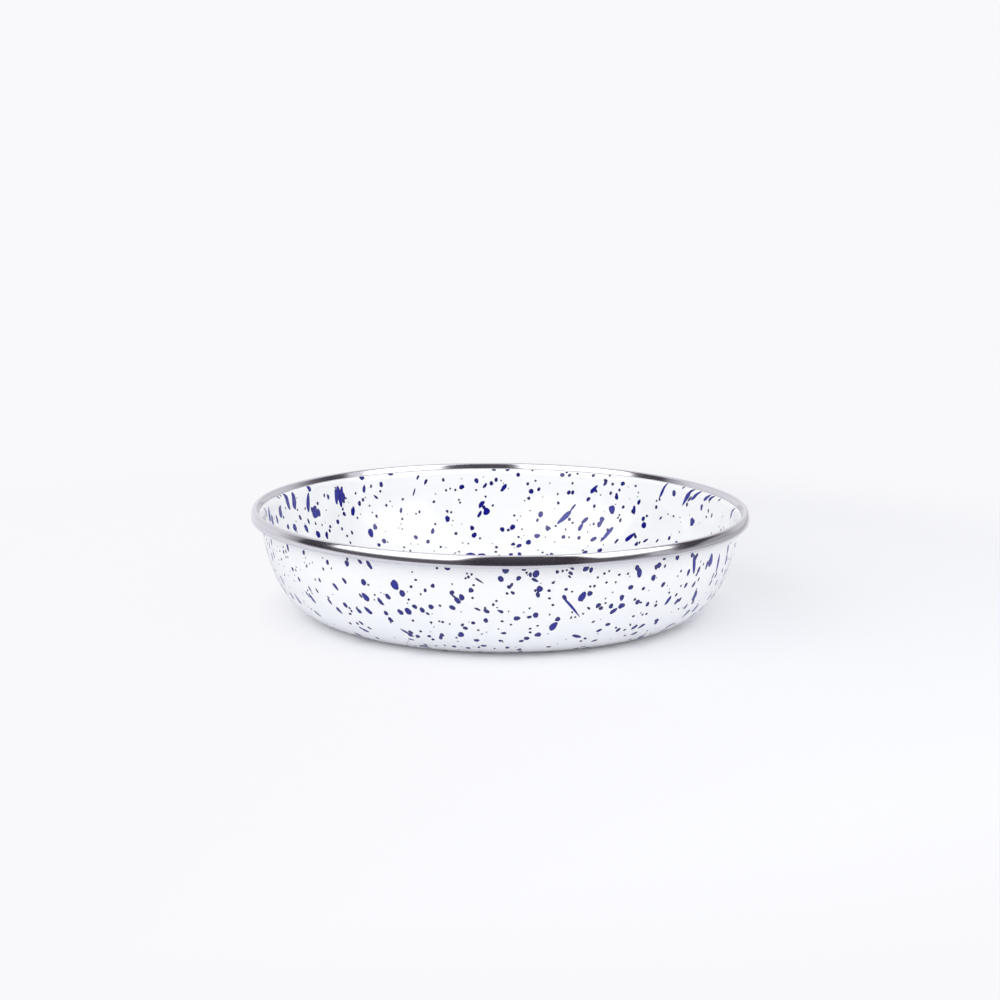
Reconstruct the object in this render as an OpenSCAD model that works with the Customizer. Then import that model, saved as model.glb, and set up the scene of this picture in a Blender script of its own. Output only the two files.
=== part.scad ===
// Enamelled steel bowl with a steel rim clinched over its edge. Millimetres, +Z up.
// The origin is on the table, under the middle of the bowl.

/* [Bowl] */
// Diameter of the bowl over its steel rim
rim_d = 260; // [250:1:300]
// Height from the table to the top of the rim
bowl_h = 55.5; // [50:0.5:75]
// Distance from the bend into the wall out to the outside of the rim
wall_spread = 40; // [34:0.5:48]
// Outer radius of the bend between the base and the wall
corner_r = 28.5; // [20:0.5:32]
// Outer radius of the wall's long curve, seen in section
wall_r = 84; // [65:1:140]

/* [Sheet and enamel] */
// Thickness of the pressed steel sheet
steel_t = 0.8; // [0.6:0.1:1]
// Thickness of the dark ground enamel on each face of the sheet
ground_t = 0.1; // [0.08:0.01:0.15]
// Thickness of the white cover enamel on each face of the ground enamel
cover_t = 0.15; // [0.12:0.01:0.25]

/* [Base] */
// Height by which the middle of the base is pushed up off the table
panel_rise = 0.6; // [0.4:0.1:1]
// Width of the flat ring that the bowl stands on
ring_w = 25; // [15:1:40]
// Radius of the two shallow bends round the pushed-up middle
panel_bend_r = 20; // [12:1:30]

/* [Steel rim] */
// Width of the rim's section, across the wall
band_w = 4.4; // [4:0.1:5]
// Height of the rim's section
band_h = 6.2; // [5.6:0.1:7]
// Thickness of the rim's steel strip
band_t = 0.4; // [0.3:0.05:0.5]
// Outer radius of the rim's round bottom
band_low_r = 1.4; // [1.2:0.1:1.6]
// Outer radius of the rim's bowed outer side, which leans in towards the top
band_side_r = 9; // [8:0.5:14]
// Outer radius of the rim's round top
band_high_r = 1.3; // [1.1:0.1:1.5]
// Angle at which the rim's lower lip rises to the flare
tuck_angle = 25; // [20:1:30]
// Distance of the wall's neck inside the rim's inner lip
neck_in = 0.7; // [0.5:0.1:0.9]
// Distance of the wall's neck below the rim's underside
neck_down = 0.4; // [0.2:0.1:0.8]
// Outer radius of the flare that turns the wall's edge out into the rim
flare_r = 3; // [2.8:0.1:3.4]
// Gap between the enamelled edge and the inside of the rim
edge_gap = 0.9; // [0.6:0.1:1.2]
// Gap left between the rim's two lips and the enamel that they close on
lip_gap = 0.02; // [0.01:0.01:0.05]

/* [Splatter] */
// Width of a small fleck, which the sizes of the others are shares of
fleck_w = 1.25; // [0.8:0.05:1.5]
// Height of a fleck's flat top over the white enamel
fleck_t = 0.12; // [0.08:0.01:0.15]

/* [Hidden] */
$fn = 180;
// Number of flats in each kind of curve of the section
panel_steps = 4;
corner_steps = 20;
wall_steps = 14;
flare_steps = 12;
band_steps = 12;
fleck_sides = 8;

rim_r = rim_d / 2;
base_r = rim_r - wall_spread;
panel_r = base_r - ring_w;
coat_t = ground_t + cover_t;
wall_t = steel_t + 2 * coat_t;

// The enamelled edge ends here, inside the rim
edge_r = rim_r - band_t - edge_gap;

// The neck is where the wall's long curve meets the flare
neck = [rim_r - band_w - neck_in, bowl_h - band_h - neck_down];

// Centre of the bend between the base and the wall
corner_c = [base_r, corner_r];

// Centre of the wall's long curve, which touches the bend and passes through the neck
neck_from_corner = neck - corner_c;
neck_away = norm(neck_from_corner);
to_neck = neck_from_corner / neck_away;
along = ((wall_r - corner_r) ^ 2 - wall_r ^ 2 + neck_away ^ 2) / (2 * neck_away);
across = sqrt((wall_r - corner_r) ^ 2 - along ^ 2);
wall_c = corner_c + along * to_neck + across * [-to_neck.y, to_neck.x];

// Headings from that centre to where the long curve starts and to the neck
foot_angle = heading(corner_c - wall_c);
neck_angle = heading(neck - wall_c);

// Centre of the flare, outside the wall
flare_c = neck + flare_r * [cos(neck_angle), sin(neck_angle)];

// The two shallow bends round the pushed-up middle turn by this angle
panel_angle = acos(1 - panel_rise / (2 * panel_bend_r));
panel_foot_c = [panel_r, panel_bend_r];
panel_top_c = panel_foot_c - 2 * panel_bend_r * [sin(panel_angle), cos(panel_angle)];

// Centres of the rim section's round bottom, its bowed side and its round top, and the side's turn
band_low_c = [rim_r - band_low_r, bowl_h - band_h + band_low_r];
band_side_c = [rim_r - band_side_r, band_low_c.y];
band_side_angle = asin((bowl_h - band_high_r - band_side_c.y) / (band_side_r - band_high_r));
band_high_c = on_arc(band_side_c, band_side_r - band_high_r, band_side_angle);

// The rim's lips close on circles about the flare's centre. The inner lip lies the section's width
// inside the rim, and the strip's inner side rises from it at this heading to touch the round top.
low_reach = flare_r - lip_gap;
inner_reach = flare_r + wall_t + lip_gap;
lip_x = rim_r - band_w;
lip = [lip_x, flare_c.y + sqrt(inner_reach ^ 2 - (flare_c.x - lip_x) ^ 2)];
rise_angle = heading(band_high_c - lip) + asin(band_high_r / norm(band_high_c - lip));

// Direction of a vector in the section, in degrees
function heading(v) = atan2(v.y, v.x);

// The same points in the other order
function reversed(points) = [for (i = [len(points) - 1 : -1 : 0]) points[i]];

// Points of an arc, without its first one
function arc(centre, r, from, to, steps) = [
    for (i = [1 : steps])
        let (a = from + (to - from) * i / steps) centre + r * [cos(a), sin(a)]
];

// The wall's outer face moved inwards by a depth, from the axis out to an edge
function face(depth, edge) = concat(
    [[0, panel_rise + depth], [panel_top_c.x, panel_rise + depth]],
    arc(panel_top_c, panel_bend_r + depth, 90, 90 - panel_angle, panel_steps),
    arc(panel_foot_c, panel_bend_r - depth, -90 - panel_angle, -90, panel_steps),
    [[base_r, depth]],
    arc(corner_c, corner_r - depth, -90, foot_angle, corner_steps),
    arc(wall_c, wall_r - depth, foot_angle, neck_angle, wall_steps),
    arc(flare_c, flare_r + depth, 180 + neck_angle, 90, flare_steps),
    [[edge, flange_z(depth)]]
);

// Height of the flat flange at a depth under the wall's outer face
function flange_z(depth) = flare_c.y + flare_r + depth;

// Where a straight stretch from a start meets the circle at a reach from the flare's centre. Its end
// is 1 where it leaves the circle from inside, and -1 where it comes to the circle from outside.
function at_flare(start, angle, reach, end) =
    let (way = [cos(angle), sin(angle)], to_centre = flare_c - start)
    start + (to_centre * way + end * sqrt(reach ^ 2 - cross(to_centre, way) ^ 2)) * way;

// One face of the rim's strip, at a depth under its outer face: from the lower lip under, up, over
// and down to the inner lip
function strip_face(depth) =
    let (
        low_start = on_arc(band_low_c, band_low_r - depth, -90 - tuck_angle),
        high_end = on_arc(band_high_c, band_high_r - depth, 90 + rise_angle)
    )
    concat(
        [at_flare(low_start, 180 - tuck_angle, low_reach, 1), low_start],
        arc(band_low_c, band_low_r - depth, -90 - tuck_angle, 0, band_steps),
        arc(band_side_c, band_side_r - depth, 0, band_side_angle, band_steps),
        arc(band_high_c, band_high_r - depth, band_side_angle, 90 + rise_angle, band_steps),
        [at_flare(high_end, 180 + rise_angle, inner_reach, -1)]
    );

// Lengths of the bend and of the long curve, on the wall's outer face
bend_run = corner_r * (foot_angle + 90) * PI / 180;
wall_run = bend_run + wall_r * (neck_angle - foot_angle) * PI / 180;

// Point of the section at a distance up the wall from the flat ring, which below zero is the base
function section(run, depth) =
    run < 0 ? [base_r + run, depth + (base_r + run < panel_top_c.x ? panel_rise : 0)]
    : run < bend_run ? on_arc(corner_c, corner_r - depth, run / corner_r * 180 / PI - 90)
    : on_arc(wall_c, wall_r - depth, foot_angle + (run - bend_run) / wall_r * 180 / PI);
function on_arc(centre, r, angle) = centre + r * [cos(angle), sin(angle)];

// Point of the bowl at a turn in degrees from the front, a distance up the wall and a depth
function on_bowl(turn, run, depth) =
    let (p = section(run, depth)) [p.x * sin(turn), -p.x * cos(turn), p.y];

// Corner of an outline in a fleck, an oval that three waves make uneven. On the side that faces
// out, side is 1 and right is the way that turns grow. Inside, side is -1.
function fleck_corner(place, i, side, depth, size_share) =
    let (
        a = 360 * i / fleck_sides,
        wave = size_share * (1 + wave_share * sin(3 * a + wave_turn * place[0])),
        x = wave * fleck_w * place[2] / 2 * cos(a),
        y = wave * fleck_w * place[3] / 2 * sin(a),
        right = x * cos(place[4]) + y * sin(place[4]),
        up = y * cos(place[4]) - x * sin(place[4]),
        run = place[1] * wall_run,
        r = section(run, depth).x
    )
    on_bowl(place[0] + side * right / r * 180 / PI, min(run + up, wall_run), depth);

// A fleck: a low flat-topped drop that lies on the white enamel. A place is turn in degrees, share
// of the way up the wall, width and height as shares of a small fleck, and lean to the right.
module fleck(place, side, depth) {
    n = fleck_sides;
    top_depth = depth - side * fleck_t;
    run = place[1] * wall_run;
    edge = [for (i = [0 : n - 1]) fleck_corner(place, i, side, depth, 1)];
    top = [for (i = [0 : n - 1]) fleck_corner(place, i, side, top_depth, top_share)];
    middles = [on_bowl(place[0], run, depth), on_bowl(place[0], run, top_depth)];
    faces = [for (i = [0 : n - 1]) let (j = (i + 1) % n)
        each [[2 * n, i, j], [i, n + j, j], [i, n + i, n + j], [2 * n + 1, n + j, n + i]]];
    polyhedron(concat(edge, top, middles), faces);
}

// Waviness of a fleck's edge, how fast it turns from fleck to fleck, and the size of its top
wave_share = 0.14;
wave_turn = 77;
top_share = 0.85;

// Flecks on the rest of a wall: a grid of columns and rows that random shares shake
function shaken(turns, up_shares, columns, rows, seed) =
    let (shake = rands(-1, 1, 5 * columns * rows, seed))
    [for (i = [0 : columns - 1], j = [0 : rows - 1]) let (k = 5 * (i * rows + j)) [
        turns[0] + (turns[1] - turns[0]) * (i + (1 + shift_share * shake[k]) / 2) / columns,
        up_shares[0]
            + (up_shares[1] - up_shares[0]) * (j + (1 + shift_share * shake[k + 1]) / 2) / rows,
        mean_shares[0] + spread_shares[0] * shake[k + 2],
        mean_shares[1] + spread_shares[1] * shake[k + 3],
        most_lean * shake[k + 4]
    ]];
shift_share = 0.6;
mean_shares = [1.7, 2.6];
spread_shares = [0.7, 1.3];
most_lean = 45;

// Flecks on the inside of the base: rings on the raised middle, and one on the flat ring
function ring_flecks(r, count, seed) = [
    for (place = shaken([0, 360], [0, 1], count, 1, seed))
        [place[0], (r - base_r) / wall_run, place[2], place[3], place[4]]
];
middle_rings = 4;
first_ring_count = 4;
flat_ring_count = 22;
base_flecks = [
    for (k = [1 : middle_rings])
        each ring_flecks(panel_top_c.x * k / (middle_rings + 1), first_ring_count * k, k),
    each ring_flecks(base_r - ring_w / 2, flat_ring_count, 0)
];

// The larger flecks of the front, outside, as places
front_shares = [
    [-67, 0.88, 1.1, 5, -10], [-60, 0.5, 1.6, 6, -35], [-56.7, 0.94, 1.5, 3.6, -12],
    [-54.5, 0.42, 1.2, 3.8, -50], [-51, 0.575, 1.8, 5, -35], [-41.5, 0.53, 1.5, 4.2, -42],
    [-40.2, 0.74, 1.4, 4.2, -38], [-38.6, 0.595, 1.9, 3, -42], [-35.6, 0.945, 2, 2.8, 0],
    [-31.7, 0.7, 2.6, 4.6, -35], [-31.9, 0.585, 2.2, 4.2, -45], [-31.5, 0.82, 2.4, 3, -20],
    [-29.5, 0.95, 1.8, 3.8, -38], [-26.2, 0.53, 1.9, 2.6, -45], [-25.6, 0.73, 2, 2.8, -42],
    [-23.5, 0.83, 3.4, 4.6, -18], [-22.1, 0.4, 2, 2.4, -60], [-21.9, 0.77, 2.6, 3, -10],
    [-21.1, 0.625, 3, 3.2, -30], [-17.6, 0.647, 2, 2.6, -45], [-14.2, 0.4, 1.7, 2.4, -70],
    [-10.5, 0.685, 2, 2.7, -55], [-9.3, 0.747, 2.2, 3.2, -35], [-9.1, 0.445, 2.8, 2.6, 0],
    [-6.2, 0.83, 2, 2.1, 0], [-3.9, 0.32, 2.6, 1.6, 0], [-3.1, 0.585, 2, 2, 10],
    [0.2, 0.92, 2.3, 2.5, 0], [3.9, 0.605, 2.5, 2.3, 0], [5.3, 0.385, 2.4, 1.4, 0],
    [7.7, 0.95, 2.6, 3.2, 0], [8.1, 0.63, 2.3, 2.6, 0], [8.6, 0.84, 2.4, 3, 40],
    [9.1, 0.45, 2.8, 2.3, 0], [12.5, 0.525, 3, 4.6, 30], [16.2, 0.685, 0.9, 13.4, -40],
    [18.4, 0.766, 2.7, 4.9, 18], [18.7, 0.96, 3, 1.9, -15], [18.9, 0.41, 1.5, 5, -62],
    [22.6, 0.68, 2, 2.5, 20], [26.3, 0.5, 2.4, 1.5, 0], [28.3, 0.725, 2.1, 2.7, 20],
    [28.7, 0.655, 3.1, 2.6, 0], [30.2, 0.8, 2.3, 2.2, 0], [31.7, 0.922, 3, 5.4, -10],
    [33, 0.668, 2.2, 2.4, 25], [34.7, 0.43, 1.6, 3.4, 50], [36.2, 0.85, 2.4, 2.6, 0],
    [37, 0.935, 2.2, 3, 10], [39.6, 0.78, 1.8, 2.6, 35], [41.7, 0.445, 2.6, 3.4, -15],
    [42.8, 0.63, 2.2, 4.2, 30], [46.4, 0.6, 1.9, 3.6, 35], [49.5, 0.87, 1.3, 10, 3],
    [49.5, 0.34, 1.6, 4, 50], [53.7, 0.595, 2, 6, 12], [54, 0.435, 1.6, 5.5, 35],
    [56.7, 0.88, 1.7, 5.6, 3], [58, 0.46, 2, 5, 30], [61.5, 0.82, 1.2, 9.5, 0]
];

// The larger flecks of the back, inside, as places
back_shares = [
    [-97.6, 0.91, 2.4, 4.8, -12], [-104.5, 0.92, 3, 5, -4], [-111, 0.75, 3.2, 4.2, -20],
    [-113, 0.93, 4.2, 8, -3], [-116.4, 0.71, 2.4, 4.6, -25], [-119.5, 0.91, 2.2, 9, 8],
    [-120.8, 0.632, 3.2, 3.6, -5], [-121.9, 0.8, 5.8, 5.8, 0], [-131.9, 0.93, 6.2, 7.6, 0],
    [-135.9, 0.763, 2.2, 5.2, 12], [-138.5, 0.822, 1.9, 2.6, -10], [-140.3, 0.54, 3, 4.8, 5],
    [-140.5, 0.944, 1.8, 3.8, 15], [-144, 0.46, 2.2, 2.9, 0], [-154.5, 0.462, 2, 2.3, -20],
    [-160, 0.507, 1.7, 3.2, 20], [-164.8, 0.612, 2.4, 3.3, 0], [-169.3, 0.895, 2.2, 2.8, 45],
    [-170.6, 0.24, 4.6, 2.6, 0], [-172.3, 0.452, 2.5, 2.9, 0], [-173.4, 0.95, 2.1, 2.7, 0],
    [-175, 0.7, 3, 6, 22], [179.4, 0.505, 2.2, 2.6, -30], [179.1, 0.885, 2, 4, 40],
    [176.4, 0.527, 2.4, 3.2, 15], [174.2, 0.345, 2, 3, 50], [171.5, 0.858, 2.6, 2.4, 30],
    [169, 0.452, 2.6, 2.9, 30], [168.5, 0.654, 2.5, 3.3, 10], [166.2, 0.53, 3, 3.6, -20],
    [161.6, 0.637, 2.6, 9.6, 45], [156, 0.59, 2, 6, 30], [153.7, 0.91, 1.8, 6, 38],
    [151.6, 0.464, 1.8, 4.2, 48], [150.5, 0.627, 2.4, 5, 14], [147.6, 0.75, 3.6, 4.3, 0],
    [147.6, 0.527, 2.2, 9.4, 33], [146.7, 0.87, 2, 3.3, -15], [140.6, 0.773, 3, 4.2, -5],
    [139.9, 0.53, 2, 7.6, 45], [136.3, 0.655, 2.7, 3.5, 8], [131.7, 0.92, 1.1, 8, 25],
    [127.5, 0.95, 2.4, 3, 0], [122, 0.91, 2.4, 8.5, 38], [118.3, 0.78, 3.2, 4.6, 0],
    [112.2, 0.93, 2.2, 4.6, 48]
];

// The other half of each face: turns, shares of the way up, columns, rows and seed
outside_rest = shaken([72, 286], [0.2, 0.97], 22, 4, 11);
inside_rest = shaken([-92, 106], [0.05, 0.97], 20, 5, 12);

// Pressed sheet-steel body with a flared edge
module steel_shell() {
    edge = edge_r - coat_t;
    color("dimgray") rotate_extrude()
        polygon(concat(face(coat_t, edge), reversed(face(wall_t - coat_t, edge))));
}

// Dark ground enamel, which wraps the whole sheet, its edge too
module ground_coat() {
    color("midnightblue") rotate_extrude() polygon(concat(
        face(cover_t, edge_r - cover_t),
        reversed(face(wall_t - cover_t, edge_r - cover_t)),
        face(wall_t - coat_t, edge_r - coat_t),
        reversed(face(coat_t, edge_r - coat_t))
    ));
}

// The end of a cover coat: it laps half of the edge
function lap() = [[edge_r, flange_z(wall_t / 2)], [edge_r - cover_t, flange_z(wall_t / 2)]];

// White cover enamel, sprayed on the outside
module white_coat_outside() {
    color("white") rotate_extrude() polygon(concat(
        face(0, edge_r), lap(), reversed(face(cover_t, edge_r - cover_t))
    ));
}

// White cover enamel, sprayed on the inside
module white_coat_inside() {
    color("white") rotate_extrude() polygon(concat(
        face(wall_t, edge_r), lap(), reversed(face(wall_t - cover_t, edge_r - cover_t))
    ));
}

// Blue enamel flung on the white outside, and fused to it
module splatter_outside() {
    color("mediumblue") for (place = concat(front_shares, outside_rest)) fleck(place, 1, 0);
}

// Blue enamel flung on the white inside, and fused to it
module splatter_inside() {
    color("mediumblue")
        for (place = concat(back_shares, inside_rest, base_flecks)) fleck(place, -1, wall_t);
}

// Steel strip rolled to a ring, whose two lips close on the enamelled flare
module rim_band() {
    color("silver") rotate_extrude()
        polygon(concat(strip_face(0), reversed(strip_face(band_t))));
}

steel_shell();
ground_coat();
white_coat_outside();
white_coat_inside();
splatter_outside();
splatter_inside();
rim_band();
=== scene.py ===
import bpy
import numpy as np
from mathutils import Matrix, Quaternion, Vector


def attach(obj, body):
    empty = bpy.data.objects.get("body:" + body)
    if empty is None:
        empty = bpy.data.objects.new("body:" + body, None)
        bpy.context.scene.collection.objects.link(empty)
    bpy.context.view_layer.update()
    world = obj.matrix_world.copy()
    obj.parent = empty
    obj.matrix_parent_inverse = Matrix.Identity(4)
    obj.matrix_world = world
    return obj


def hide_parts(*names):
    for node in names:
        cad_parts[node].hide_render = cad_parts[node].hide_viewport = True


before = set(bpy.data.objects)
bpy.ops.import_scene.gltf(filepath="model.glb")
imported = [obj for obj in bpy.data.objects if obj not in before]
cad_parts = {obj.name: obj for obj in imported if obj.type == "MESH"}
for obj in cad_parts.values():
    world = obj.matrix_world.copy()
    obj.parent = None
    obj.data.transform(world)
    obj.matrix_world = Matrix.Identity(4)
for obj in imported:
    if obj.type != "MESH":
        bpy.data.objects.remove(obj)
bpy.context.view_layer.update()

# Pressed wall
# The body is one disc of steel sheet, pressed to a base with a slightly raised middle, a rounded
# corner, a slightly bowed wall and a small flare. Its section is drawn in millimetres, as the outer
# face, and everything on the bowl lies at some depth under that face.

MM = 0.001
bowl_h = 55.5
rim_r = 130.0
base_r = 90.0
corner_r = 28.5
wall_r = 84.0
flare_r = 3.0
wall_t = 1.3
panel_r = 65.0
panel_rise = 0.6
panel_bend_r = 20.0
band_w, band_h, band_t = 4.4, 6.2, 0.4
neck_in, neck_down = 0.7, 0.4
edge_gap = 0.9
neck = np.array([rim_r - band_w - neck_in, bowl_h - band_h - neck_down])
edge_r = rim_r - band_t - edge_gap
lowest, highest = -np.pi / 2, np.pi / 2

# The wall's arc passes through the neck and touches the corner's arc from outside its bend, so its
# centre is wall_r from the neck and wall_r less corner_r from the corner's centre.
corner_c = np.array([base_r, corner_r])
reach = neck - corner_c
away = np.hypot(*reach)
to_neck = reach / away
along = ((wall_r - corner_r) ** 2 - wall_r**2 + away**2) / (2 * away)
across = np.sqrt((wall_r - corner_r) ** 2 - along**2)
wall_c = corner_c + along * to_neck + across * np.array([-to_neck[1], to_neck[0]])
foot_angle = np.arctan2(*(corner_c - wall_c)[::-1])
neck_angle = np.arctan2(*(neck - wall_c)[::-1])
flare_c = neck + flare_r * np.array([np.cos(neck_angle), np.sin(neck_angle)])
panel_angle = np.arccos(1 - panel_rise / (2 * panel_bend_r))
panel_foot_c = np.array([panel_r, panel_bend_r])
panel_top_c = panel_foot_c - 2 * panel_bend_r * np.array([np.sin(panel_angle), np.cos(panel_angle)])


def straight(start, stop, steps):
    """Points from start to stop in even steps, each with the direction square to the line, to its left"""
    share = np.linspace(0, 1, steps + 1)[:, None]
    forward = (stop - start) / np.hypot(*(stop - start))
    left = np.array([-forward[1], forward[0]])
    return start + share * (stop - start), np.tile(left, (steps + 1, 1))


def bend(centre, radius, start, stop, steps):
    """Points at centre plus radius times (cos, sin) of an angle that runs from start to stop, each with
    the direction to the left of the way along: to the centre where the angle grows, or away from it"""
    angle = np.linspace(start, stop, steps + 1)
    out = np.stack([np.cos(angle), np.sin(angle)], 1)
    return centre + radius * out, -np.sign(stop - start) * out


base_stretches = [
    straight(np.array([0, panel_rise]), np.array([panel_top_c[0], panel_rise]), 8),
    bend(panel_top_c, panel_bend_r, highest, highest - panel_angle, 6),
    bend(panel_foot_c, panel_bend_r, lowest - panel_angle, lowest, 6),
    straight(np.array([panel_r, 0.0]), np.array([base_r, 0.0]), 5),
]
wall_stretches = [
    bend(corner_c, corner_r, lowest, foot_angle, 36),
    bend(wall_c, wall_r, foot_angle, neck_angle, 30),
    bend(flare_c, flare_r, np.pi + neck_angle, highest, 16),
    straight(flare_c + [0, flare_r], np.array([edge_r, flare_c[1] + flare_r]), 2),
]
stretches = base_stretches + wall_stretches
face = np.concatenate([points[:-1] for points, _ in stretches] + [stretches[-1][0][-1:]])
inward = np.concatenate([lefts[:-1] for _, lefts in stretches] + [stretches[-1][1][-1:]])
travel = np.concatenate([[0], np.cumsum(np.hypot(*np.diff(face, axis=0).T))])
foot = travel[sum(len(points) - 1 for points, _ in base_stretches)]
wall_run = corner_r * (foot_angle - lowest) + wall_r * (neck_angle - foot_angle)


def section(run, depth):
    """Point of the section: the outer face at a distance up the wall from the flat ring, moved inwards"""
    at = run + foot
    r = np.interp(at, travel, face[:, 0]) + depth * np.interp(at, travel, inward[:, 0])
    z = np.interp(at, travel, face[:, 1]) + depth * np.interp(at, travel, inward[:, 1])
    return r, z


def on_bowl(turn, run, depth):
    """Point of the bowl: the section's point turned by so many degrees from the front, to the right"""
    r, z = section(run, depth)
    t = np.radians(turn)
    return np.stack(np.broadcast_arrays(r * np.sin(t), -r * np.cos(t), z), -1)


def mesh_object(name, points, faces):
    """A smooth mesh from points in millimetres and a list of index arrays, one row for each face"""
    mesh = bpy.data.meshes.new(name)
    sizes = np.concatenate([np.full(len(rows), rows.shape[1]) for rows in faces])
    loops = np.concatenate([rows.ravel() for rows in faces])
    mesh.vertices.add(len(points))
    mesh.vertices.foreach_set("co", (points * MM).astype(np.float32).ravel())
    mesh.loops.add(len(loops))
    mesh.loops.foreach_set("vertex_index", loops.astype(np.int32))
    mesh.polygons.add(len(sizes))
    mesh.polygons.foreach_set("loop_start", np.concatenate([[0], np.cumsum(sizes)[:-1]]).astype(np.int32))
    mesh.update(calc_edges=True)
    mesh.validate()
    mesh.shade_smooth()
    piece = bpy.data.objects.new(name, mesh)
    bpy.context.scene.collection.objects.link(piece)
    return piece


def spun(name, profile, turns):
    """A profile of (r, z) turned about the axis in even steps. The ends of one that starts and ends on
    the axis are single points, and any other profile is closed on itself"""
    on_axis = np.isclose(profile[0, 0], 0)
    ring = profile[1:-1] if on_axis else profile
    angle = np.arange(turns) * 2 * np.pi / turns
    points = np.stack([
        ring[:, :1] * np.sin(angle), -ring[:, :1] * np.cos(angle), np.tile(ring[:, 1:], (1, turns))
    ], -1).reshape(-1, 3)
    here = np.arange(len(ring) - 1 if on_axis else len(ring))[:, None] * turns
    next_up = (here + turns) % (len(ring) * turns)
    j = np.arange(turns)[None]
    k = (j + 1) % turns
    faces = [np.stack([here + j, here + k, next_up + k, next_up + j], -1).reshape(-1, 4)]
    if on_axis:
        low, high = len(points), len(points) + 1
        last = (len(ring) - 1) * turns
        points = np.concatenate([points, [[0, 0, profile[0, 1]], [0, 0, profile[-1, 1]]]])
        faces.append(np.stack([np.full(turns, low), k[0], j[0]], -1))
        faces.append(np.stack([np.full(turns, high), last + j[0], last + k[0]], -1))
    return mesh_object(name, points, faces)


# White enamel
# A glass coat sprayed on a dark ground coat and fired, 0.15 mm thick, outside and inside. It is
# glossy, very faintly rippled, and a little blue. The two coats meet half way round the edge.

cover_t = 0.15
coat_turns = 480
glass_ior = 1.52


def coat_profile(near, far, coarse=3):
    """Closed section of a coat: the face that shows, with all its points, and the face under it, with
    fewer and the other way. The two join at a lap half way through the wall's thickness, at its edge"""
    shown = face + near * inward
    under = (face + far * inward)[::coarse]
    lap = np.array([[edge_r, flare_c[1] + flare_r + wall_t / 2]])
    if near > far:
        return np.concatenate([under, lap, shown[::-1]])
    return np.concatenate([shown, lap, under[::-1]])


def new_material(name):
    """An empty node material with its output, and its tree"""
    material = bpy.data.materials.new(name)
    material.use_nodes = True
    tree = material.node_tree
    tree.nodes.clear()
    tree.nodes.new("ShaderNodeOutputMaterial")
    return material, tree


def node(tree, kind, **values):
    """A node of a kind. A named value is a setting where the node has one of that name, and otherwise goes
    to the input of that name, with spaces for underscores: a socket is linked, any other value is set"""
    made = tree.nodes.new("ShaderNode" + kind)
    for name, value in values.items():
        label = name.replace("_", " ")
        if hasattr(made, name):
            setattr(made, name, value)
        elif isinstance(value, bpy.types.NodeSocket):
            tree.links.new(value, made.inputs[label])
        else:
            made.inputs[label].default_value = value
    return made


def colours(tree, factor, *stops):
    """The colour that a factor picks from a ramp with these stops, each a place from 0 to 1 and a colour"""
    made = node(tree, "ValToRGB", Fac=factor)
    elements = made.color_ramp.elements
    for place, _ in stops[1:-1]:
        elements.new(place)
    for element, (place, colour) in zip(elements, stops):
        element.position = place
        element.color = (*colour, 1)
    return made.outputs["Color"]


def show(tree, shader):
    """Give a shader to the surface of the tree's material"""
    tree.links.new(shader.outputs[0], tree.nodes["Material Output"].inputs["Surface"])


def fired_gloss():
    """Node group: from object coordinates, the slow ripple and fine orange peel of fired glass as a
    normal, and a roughness that wanders between two values"""
    group = bpy.data.node_groups.new("fired_gloss", "ShaderNodeTree")
    for name, value in (("Ripple", 1.0), ("Least Roughness", 0.05), ("Most Roughness", 0.12)):
        socket = group.interface.new_socket(name, in_out="INPUT", socket_type="NodeSocketFloat")
        socket.default_value = value
    group.interface.new_socket("Roughness", in_out="OUTPUT", socket_type="NodeSocketFloat")
    group.interface.new_socket("Normal", in_out="OUTPUT", socket_type="NodeSocketVector")
    taken = group.nodes.new("NodeGroupInput").outputs
    given = group.nodes.new("NodeGroupOutput").inputs
    where = node(group, "TexCoord").outputs["Object"]
    slow = node(group, "TexNoise", Vector=where, Scale=70.0, Detail=2.0)
    peel = node(group, "TexNoise", Vector=where, Scale=520.0, Detail=1.0)
    patches = node(group, "TexNoise", Vector=where, Scale=25.0, Detail=3.0)
    rolling = node(group, "Bump", Height=slow.outputs["Fac"], Strength=taken["Ripple"], Distance=0.00012)
    peeled = node(group, "Bump", Height=peel.outputs["Fac"], Strength=taken["Ripple"],
                  Distance=0.000006, Normal=rolling.outputs["Normal"])
    rough = node(group, "MapRange", Value=patches.outputs["Fac"], From_Min=0.35, From_Max=0.65,
                 To_Min=taken["Least Roughness"], To_Max=taken["Most Roughness"])
    group.links.new(rough.outputs["Result"], given["Roughness"])
    group.links.new(peeled.outputs["Normal"], given["Normal"])
    return group


gloss = fired_gloss()


def white_enamel():
    """White glass over a dark ground: a cool white that wanders very little, with the fired gloss"""
    material, tree = new_material("white_enamel")
    where = node(tree, "TexCoord").outputs["Object"]
    cloud = node(tree, "TexNoise", Vector=where, Scale=18.0, Detail=4.0)
    tint = colours(tree, cloud.outputs["Fac"], (0.3, (0.89, 0.9, 0.92)), (0.7, (0.915, 0.922, 0.935)))
    skin = node(tree, "Group", node_tree=gloss, Ripple=0.35, Least_Roughness=0.05, Most_Roughness=0.1)
    shader = node(tree, "BsdfPrincipled", Base_Color=tint, IOR=glass_ior,
                  Roughness=skin.outputs["Roughness"], Normal=skin.outputs["Normal"])
    show(tree, shader)
    return material


white = white_enamel()
enamel_outside = spun("enamel_outside", coat_profile(0, cover_t), coat_turns)
enamel_inside = spun("enamel_inside", coat_profile(wall_t, wall_t - cover_t), coat_turns)
for coat, stands_for in ((enamel_outside, "white_coat_outside"), (enamel_inside, "white_coat_inside")):
    coat.data.materials.append(white)
    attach(coat, "root")
    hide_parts(stands_for)

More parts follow.
